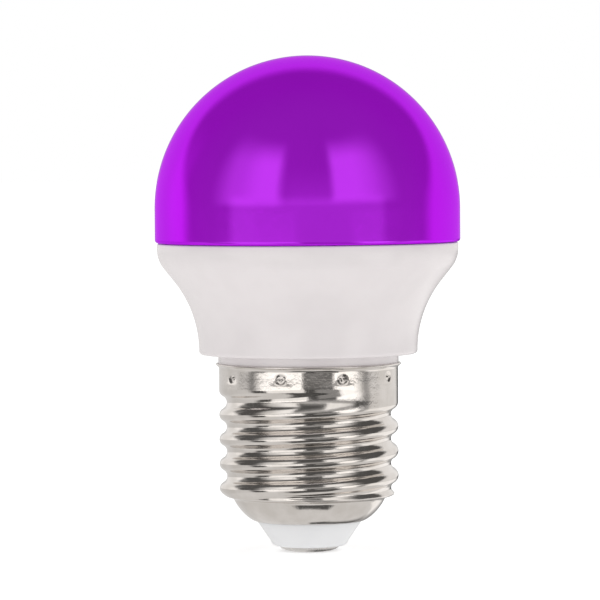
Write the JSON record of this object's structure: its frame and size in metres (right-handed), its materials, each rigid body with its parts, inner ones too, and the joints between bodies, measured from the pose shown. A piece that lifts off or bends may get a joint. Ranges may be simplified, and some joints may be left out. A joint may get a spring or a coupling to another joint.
{
  "type": "smart light bulb",
  "caption": "Round smart light bulb with a glossy coloured dome, a flared white housing and a screw cap, and its driver, radio and LED boards inside.",
  "frame": {"origin": "middle of the centre contact's flat face, on the bulb's axis", "axes": "+Z along the bulb's axis, from the contact to the dome; -Y is the driver board's component side"},
  "size_m": [0.045, 0.045, 0.073],
  "materials": {
    "dome_plastic": "translucent purple polycarbonate, moulded glossy",
    "silicone": "cured silicone bead, satin",
    "housing_plastic": "white moulded plastic, soft satin gloss",
    "heat_sink_aluminium": "spun aluminium, satin with turning marks",
    "thermal_pad": "grey filled silicone pad, matte",
    "white_solder_mask": "aluminium-cored board under white solder mask",
    "screw_steel": "zinc-plated steel",
    "connector_black": "black moulded nylon",
    "connector_white": "natural moulded nylon",
    "black_solder_mask": "glass-fibre board under black solder mask",
    "tinned_can": "tinned steel can, drawn",
    "green_solder_mask": "glass-fibre board under green solder mask",
    "capacitor_sleeve": "aluminium can in a dark shrink sleeve",
    "ferrite": "pressed ferrite, ground faces",
    "winding_tape": "copper winding under yellow polyester tape",
    "film_capacitor_box": "yellow moulded box",
    "varistor_epoxy": "blue dipped epoxy",
    "resistor_coat": "green flameproof coating",
    "chip_black": "black moulding compound",
    "white_led_phosphor": "yellow phosphor resin in a white frame",
    "colour_led_resin": "clear resin in a white frame",
    "live_insulation": "red insulated wire",
    "neutral_insulation": "white insulated wire",
    "cap_nickel": "nickel-plated rolled sheet, bright",
    "cap_insulator_white": "white moulded insulator, satin",
    "contact_nickel": "nickel-plated pressed button, satin bright"
  },
  "bodies": {
    "root": {"board_screw_1": "screw_steel", "board_screw_2": "screw_steel", "bridge_rectifier": "chip_black", "bulk_capacitor": "capacitor_sleeve", "cap_insulator": "cap_insulator_white", "centre_contact": "contact_nickel", "colour_led_1": "colour_led_resin", "colour_led_2": "colour_led_resin", "colour_led_3": "colour_led_resin", "colour_led_4": "colour_led_resin", "dome_diffuser": "dome_plastic", "dome_glue_bead": "silicone", "driver_board": "green_solder_mask", "driver_chip": "chip_black", "film_capacitor": "film_capacitor_box", "fuse_resistor": "resistor_coat", "heat_sink_cup": "heat_sink_aluminium", "housing": "housing_plastic", "led_board": "white_solder_mask", "line_choke": "ferrite", "link_header": "connector_black", "link_socket": "connector_white", "live_wire": "live_insulation", "neutral_wire": "neutral_insulation", "output_capacitor": "capacitor_sleeve", "output_diode": "chip_black", "radio_board": "black_solder_mask", "radio_header": "connector_black", "radio_shield": "tinned_can", "regulator_chip": "chip_black", "screw_shell": "cap_nickel", "thermal_pad": "thermal_pad", "transformer_bobbin": "winding_tape", "transformer_core": "ferrite", "varistor": "varistor_epoxy", "white_led_1": "white_led_phosphor", "white_led_2": "white_led_phosphor", "white_led_3": "white_led_phosphor", "white_led_4": "white_led_phosphor", "white_led_5": "white_led_phosphor", "white_led_6": "white_led_phosphor", "white_led_7": "white_led_phosphor", "white_led_8": "white_led_phosphor"}
  },
  "joints": []
}
